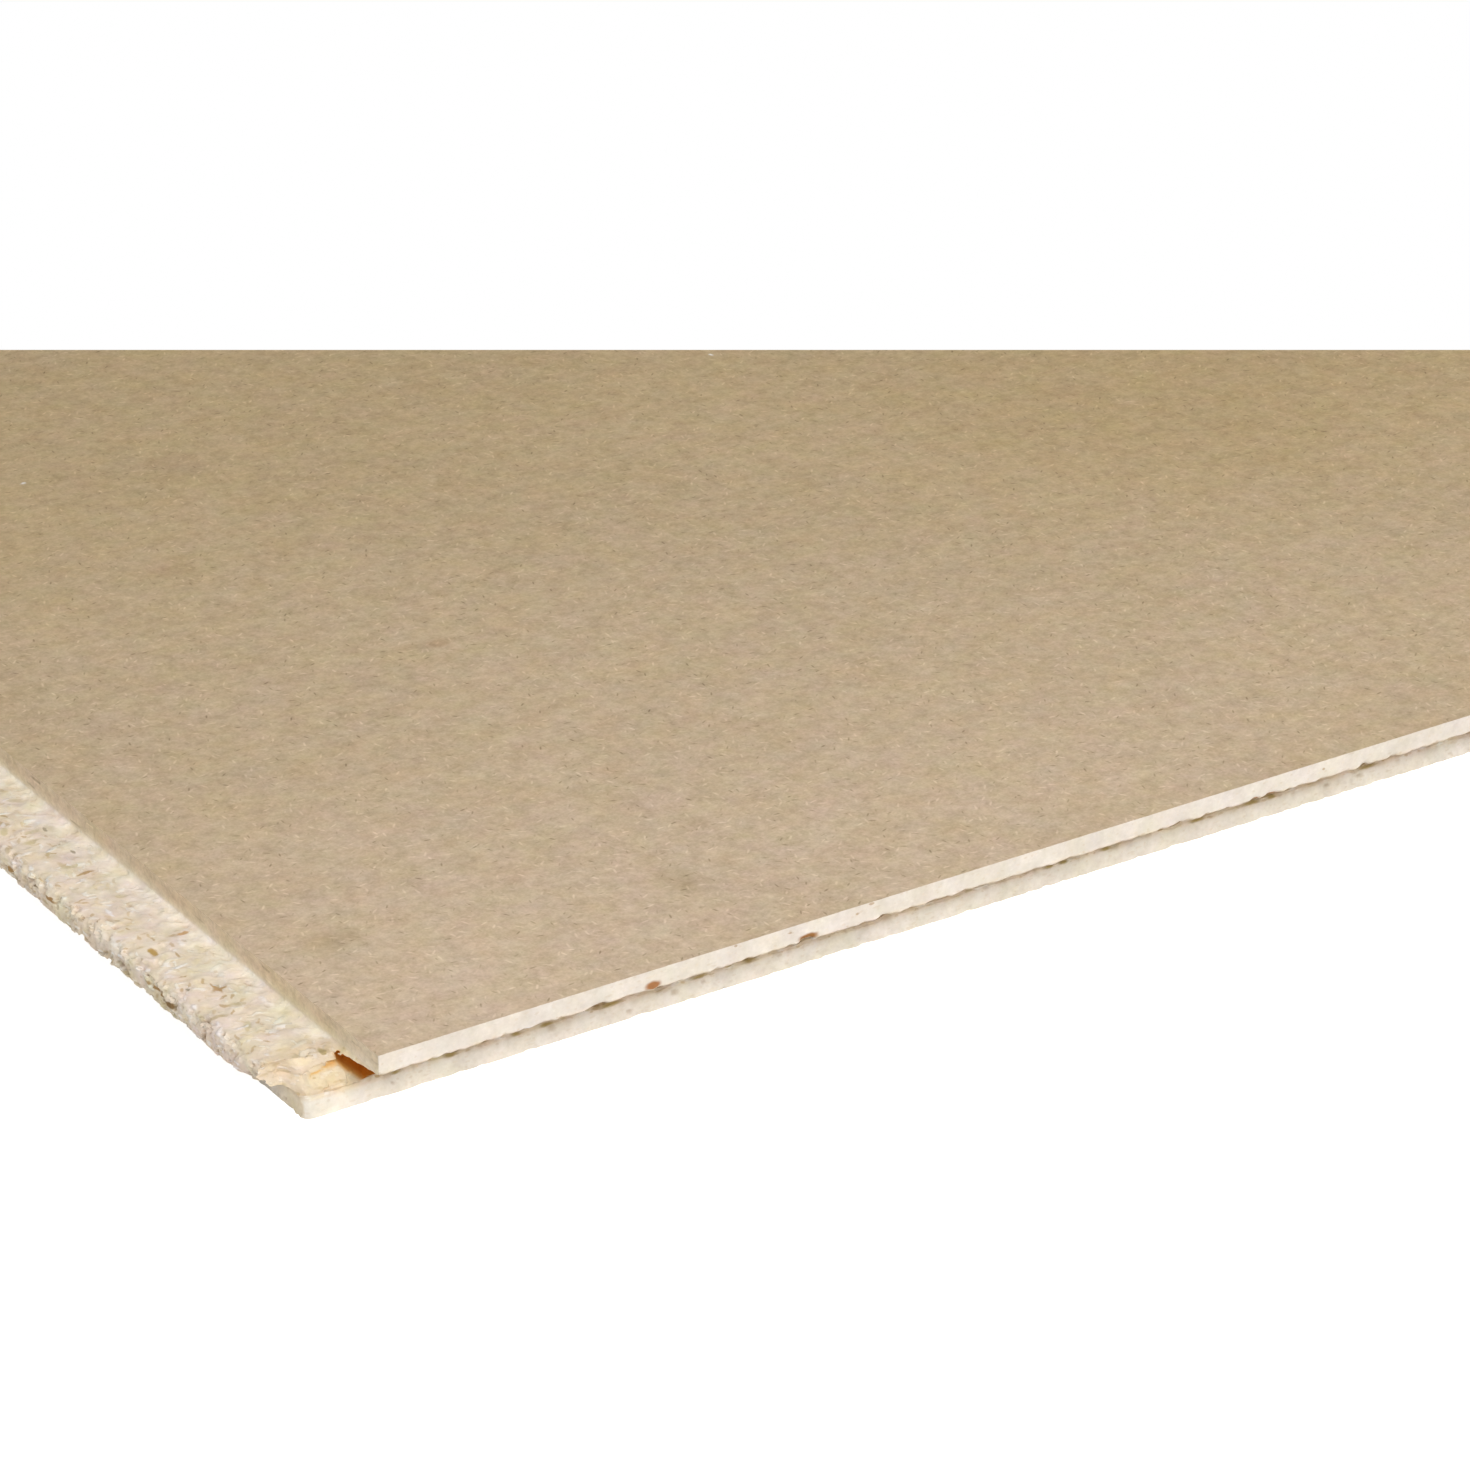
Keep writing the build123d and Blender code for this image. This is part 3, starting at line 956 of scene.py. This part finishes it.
def bend(tree, place, size, reach):
    """Shifts places to and fro, so that shapes drawn there lose their plain outline."""
    wobble = put(tree, "ShaderNodeTexNoise", Vector=place, Scale=1 / size, Detail=2.0)
    shift = reckon(tree, "SUBTRACT", wobble.outputs["Color"], (0.5, 0.5, 0.5))
    return reckon(tree, "ADD", place, reckon(tree, "MULTIPLY", shift, reach))


def tinted(tree, colour, shade, pink, warm):
    """A colour made lighter or darker; darker is browner too, and pink and warm shift its hue."""
    green_shade = calculate(tree, "POWER", shade, 1.06)
    blue_shade = calculate(tree, "POWER", shade, 1.22)
    red = times(tree, shade, times_plus(tree, pink, 0.5, 1.0))
    green = times(tree, green_shade, times_plus(tree, pink, -0.5, 1.0))
    blue = times(tree, blue_shade, times_plus(tree, warm, -1.0, 1.0))
    factor = put(tree, "ShaderNodeCombineColor", Red=red, Green=green, Blue=blue)
    return blend(tree, 1.0, colour, factor.outputs[0], "MULTIPLY")


def pressed_flecks(tree, place, chip_layer, mottle, contrast=1.0):
    """Fine flecks of pressed board: how light the board is at each place, and its pink and warm tints."""
    flecks = place_group(tree, mottle, Vector=place, Size=6.0, Detail=3.5, Roughness=1.0)
    hues = place_group(tree, mottle, Vector=place, Size=14.0, Detail=2.5, Roughness=0.75)
    broad = place_group(tree, mottle, Vector=place, Size=120.0, Detail=3.0, Roughness=0.5)
    shade = times_plus(tree, flecks["Tone"], FLECK_SHADE * contrast, 1.0)
    shade = times_plus(tree, broad["Tone"], BROAD_SHADE * contrast, shade)
    for values, strength in ((PALE_FLECKS, PALE_SHADE), (DARK_FLECKS, DARK_SHADE)):
        layer = place_group(tree, chip_layer, Vector=place, **values)
        chip_tone = times(tree, layer["Mask"], layer["Tone"])
        shade = times_plus(tree, chip_tone, strength * contrast, shade)
    pink = times(tree, hues["Pink"], PRESSED_PINK)
    warm = times(tree, hues["Warm"], PRESSED_WARM)
    return shade, pink, warm


def pressed_face_finish(chip_layer, mottle, spot):
    """Face and underside: fine tan flecks pressed smooth, with soft mottling."""
    material, tree, surface = start_material("pressed_chipboard_face")
    place = board_millimetres(tree)
    shade, pink, warm = pressed_flecks(tree, place, chip_layer, mottle)
    colour = FACE_TAN
    bent = bend(tree, place, 6.0, (5.0, 5.0, 0.0))
    for centre, size, bit_colour, strength in FACE_DRIFTS + FACE_BITS:
        bit = spot_at(tree, spot, bent, centre, size, 0.9)
        colour = overlay(tree, colour, (*bit_colour, 1), bit, strength)
    tree.links.new(tinted(tree, colour, shade, pink, warm), surface["Base Color"])
    tree.links.new(remap(tree, shade, 0.75, 1.2, 0.8, 0.68), surface["Roughness"])
    bump = put(tree, "ShaderNodeBump", Strength=0.3, Distance=0.06 * MM, Height=shade)
    tree.links.new(bump.outputs["Normal"], surface["Normal"])
    surface["Specular IOR Level"].default_value = 0.25
    return material


def torn_chip_colour(tree, height, core, slow, coarse, streaks, slivers, bark):
    """Torn chips before any marks: fine cream slivers, and coarse chips and streaks in the core."""
    # Below, the cream is painted lighter than above, against the shade under the upper lip
    cream = blend(tree, remap(tree, height, 8.0, 14.0), LOWER_CREAM_PAINTED_LIGHTER, UPPER_CREAM)
    colour = blend(tree, core, cream, CORE_HONEY)
    sliver_colour = colours(tree, slivers["Tone"], *SLIVER_COLOURS)
    sliver_share = times_plus(tree, core, 0.65, 0.2)
    colour = overlay(tree, colour, sliver_colour, slivers["Mask"], sliver_share)
    core_layers = ((coarse, CHIP_COLOURS, CHIP_STRENGTH), (streaks, STREAK_COLOURS, STREAK_STRENGTH))
    for layer, stops, strength in core_layers:
        in_core = times(tree, layer["Mask"], core)
        colour = overlay(tree, colour, colours(tree, layer["Tone"], *stops), in_core, strength)
    # Painted light: lighter cream where the edge lies in shade
    painted_light_strength = times_plus(tree, slow["Tone"], 0.35, 0.7)
    colour = overlay(tree, colour, PAINTED_LIGHT_CREAM, finish_share(tree, "painted_light"), painted_light_strength)
    return overlay(tree, colour, BARK_TAN, bark["Mask"], BARK_STRENGTH)


def marked_colour(tree, colour, bent, spot):
    """Lays the freshly torn wood and single bits over a colour, then painted shade: olive dashes in the gap
    above the lower lip, brown in holes and gaps, and dark brown with an amber rim in the slit and crack at
    the corner.
    """
    colour = overlay(tree, colour, FRESH_WOOD, finish_share(tree, "fresh"), FRESH_STRENGTH)
    for centre, size, bit_colour in EDGE_BITS:
        colour = blend(tree, spot_at(tree, spot, bent, centre, size, 0.5), colour, (*bit_colour, 1))
    for along, length in LIP_GAP_SHADES:
        centre = (along, LOWER_LIP_SETBACK / MM, LIP_GAP_SHADE_HEIGHT)
        gap_shade = spot_at(tree, spot, bent, centre, (length, *LIP_GAP_SHADE_SECTION), 0.8)
        colour = blend(tree, gap_shade, colour, (*GAP_SHADE_OLIVE, 1))
    colour = overlay(tree, colour, PAINTED_SHADE_BROWN, finish_share(tree, "painted_shade"), PAINTED_SHADE_STRENGTH)
    painted_gap_shade = finish_share(tree, "painted_gap_shade")
    gap_shade_colour = colours(tree, painted_gap_shade, (0.3, GAP_SHADE_AMBER), (0.95, GAP_SHADE_BROWN))
    return blend(tree, remap(tree, painted_gap_shade, 0.0, 0.6), colour, gap_shade_colour)


def rubbed_shoulder_colour(tree, place, height, chip_layer, mottle):
    """The upper shoulder, rubbed smooth: flecks as on the face, set upright and drawn out along the edge, on
    a tan painted lighter than the face's against the shade on this wall, and lighter still at its foot.
    """
    drawn_out = reckon(tree, "MULTIPLY", place, (1.0, 0.75, 1.0))
    upright = put(
        tree, "ShaderNodeVectorRotate", {"rotation_type": "EULER_XYZ"},
        Vector=drawn_out, Rotation=(math.pi / 2, 0, math.pi / 2))
    # Painted light: the shoulder's tan is lighter than the face's against the shade on this wall, and lighter
    # still at its foot
    colour = blend(tree, remap(tree, height, 19.5, 16.6), SHOULDER_TAN_PAINTED_LIGHTER, SHOULDER_FOOT_PAINTED_LIGHTER)
    flecks = pressed_flecks(tree, upright.outputs[0], chip_layer, mottle, SHOULDER_CONTRAST)
    return tinted(tree, colour, *flecks)


def torn_chip_relief(tree, core, rubbed, coarse, streaks, slivers):
    """Height of the torn chips, lower towards the faces and gone where the edge is rubbed."""
    chip_relief = times(tree, coarse["Tone"], coarse["Mask"])
    sliver_relief = times(tree, slivers["Mask"], slivers["Tone"])
    relief = times_plus(tree, sliver_relief, 0.6, chip_relief)
    relief = times_plus(tree, streaks["Mask"], 0.6, relief)
    strength = times_plus(tree, core, 0.85, 0.15)
    strength = times(tree, strength, calculate(tree, "SUBTRACT", 1.0, rubbed))
    return times(tree, relief, strength)


def milled_edge_finish(chip_layer, mottle, spot):
    """Milled edges: cream chips cut across, coarse and honey coloured in the core, fine towards the faces."""
    material, tree, surface = start_material("milled_chipboard_edge")
    place = board_millimetres(tree)
    bent = bend(tree, place, 2.2, (1.7, 1.7, 0.4))
    height = put(tree, "ShaderNodeSeparateXYZ", Vector=place).outputs["Z"]
    off_middle = calculate(tree, "ABSOLUTE", calculate(tree, "SUBTRACT", height, CORE_MIDDLE))
    core = remap(tree, off_middle, CORE_END, CORE_START)
    coarse, streaks, slivers, bark = (
        place_group(tree, chip_layer, Vector=bent, **values)
        for values in (COARSE_CHIPS, STREAKS, SLIVERS, BARK_BITS)
    )
    dust = place_group(tree, mottle, Vector=place, Size=2.4, Detail=2.0, Roughness=0.8)
    slow = place_group(tree, mottle, Vector=place, Size=7.0, Detail=2.0, Roughness=0.5)
    rubbed = finish_share(tree, "rubbed")
    colour = torn_chip_colour(tree, height, core, slow, coarse, streaks, slivers, bark)
    colour = marked_colour(tree, colour, bent, spot)
    shade = times_plus(tree, dust["Tone"], DUST_SHADE, 1.0)
    shade = times_plus(tree, slow["Tone"], SLOW_SHADE, shade)
    hue_share = times_plus(tree, core, 0.6, 0.4)
    pink, warm = (
        times(tree, times(tree, slow[tint], strength), hue_share)
        for tint, strength in (("Pink", MILLED_PINK), ("Warm", MILLED_WARM))
    )
    milled = tinted(tree, colour, shade, pink, warm)
    shoulder = rubbed_shoulder_colour(tree, place, height, chip_layer, mottle)
    tree.links.new(blend(tree, rubbed, milled, shoulder), surface["Base Color"])
    tree.links.new(remap(tree, dust["Tone"], -1.0, 1.0, 0.92, 0.8), surface["Roughness"])
    relief = torn_chip_relief(tree, core, rubbed, coarse, streaks, slivers)
    bump = put(tree, "ShaderNodeBump", Strength=0.6, Distance=0.38 * MM, Height=relief)
    tree.links.new(bump.outputs["Normal"], surface["Normal"])
    surface["Specular IOR Level"].default_value = 0.2
    return material


# Floor, light and camera

def seen_directly(tree):
    """1 for what the camera sees straight, in a gloss or through glass, and 0 for light on the panel."""
    path = put(tree, "ShaderNodeLightPath")
    seen = calculate(tree, "MAXIMUM", path.outputs["Is Camera Ray"], path.outputs["Is Glossy Ray"])
    return calculate(tree, "MAXIMUM", seen, path.outputs["Is Transmission Ray"])


def white_floor():
    """A wide white floor under the panel that keeps its shadow."""
    mesh = bpy.data.meshes.new("floor")
    corners = [(x * FLOOR_REACH, y * FLOOR_REACH, 0) for x, y in ((-1, -1), (1, -1), (1, 1), (-1, 1))]
    mesh.from_pydata(corners, [], [(0, 1, 2, 3)])
    floor = add_object("floor", mesh)
    floor.location.z = -0.02 * MM
    material, tree, surface = start_material("white_floor")
    surface["Base Color"].default_value = FLOOR_GREY
    surface["Roughness"].default_value = 1.0
    surface["Specular IOR Level"].default_value = 0.0
    surface["Emission Color"].default_value = WHITE
    tree.links.new(times(tree, seen_directly(tree), FLOOR_GLOW), surface["Emission Strength"])
    mesh.materials.append(material)


def white_world():
    """White behind the panel; a dimmer grey lights it."""
    world = bpy.data.worlds.new("studio")
    world.use_nodes = True
    tree = world.node_tree
    background = tree.nodes["Background"].inputs
    background["Color"].default_value = WHITE
    strength = remap(tree, seen_directly(tree), 0.0, 1.0, WORLD_LIGHT, 1.0)
    tree.links.new(strength, background["Strength"])
    bpy.context.scene.world = world


def soft_lamps():
    """Soft square lamps, each turned to its target."""
    for name, place, target in LAMPS:
        lamp = bpy.data.lights.new(name, "AREA")
        lamp.shape = "SQUARE"
        lamp.size = LAMP_SIZE
        lamp.energy = LAMP_POWER
        lamp.color = LAMP_WHITE
        made = add_object(name, lamp)
        made.location = place
        made.rotation_mode = "QUATERNION"
        made.rotation_quaternion = (Vector(target) - Vector(place)).to_track_quat("-Z", "Y")


def photo_camera():
    """The camera that sees the near left corner as the photograph does."""
    heading, dip = CAMERA_HEADING, CAMERA_DIP
    forward = Vector((math.sin(heading) * math.cos(dip), math.cos(heading) * math.cos(dip), -math.sin(dip)))
    right = Vector((math.cos(heading), -math.sin(heading), 0))
    upward = right.cross(forward)
    data = bpy.data.cameras.new("camera")
    data.lens = CAMERA_LENS
    data.sensor_width = CAMERA_SENSOR
    data.clip_start = 0.05
    data.clip_end = VIEW_DEPTH
    camera = add_object("camera", data)
    turn = Matrix((right, upward, -forward)).transposed().to_4x4()
    corner = Vector((FACE_LEFT, FACE_NEAR, FACE_HEIGHT))
    camera.matrix_world = Matrix.Translation(corner + CAMERA_FROM_CORNER) @ turn
    bpy.context.scene.camera = camera


chip_layer = build_chip_layer()
mottle = build_mottle()
spot = build_spot()
panel = milled_panel()
face_finish = pressed_face_finish(chip_layer, mottle, spot)
edge_finish = milled_edge_finish(chip_layer, mottle, spot)
give_materials(panel, face_finish, edge_finish)
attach(panel, "root")
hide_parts("floor_panel")

white_floor()
white_world()
soft_lamps()
photo_camera()
bpy.context.scene.view_settings.view_transform = "Standard"
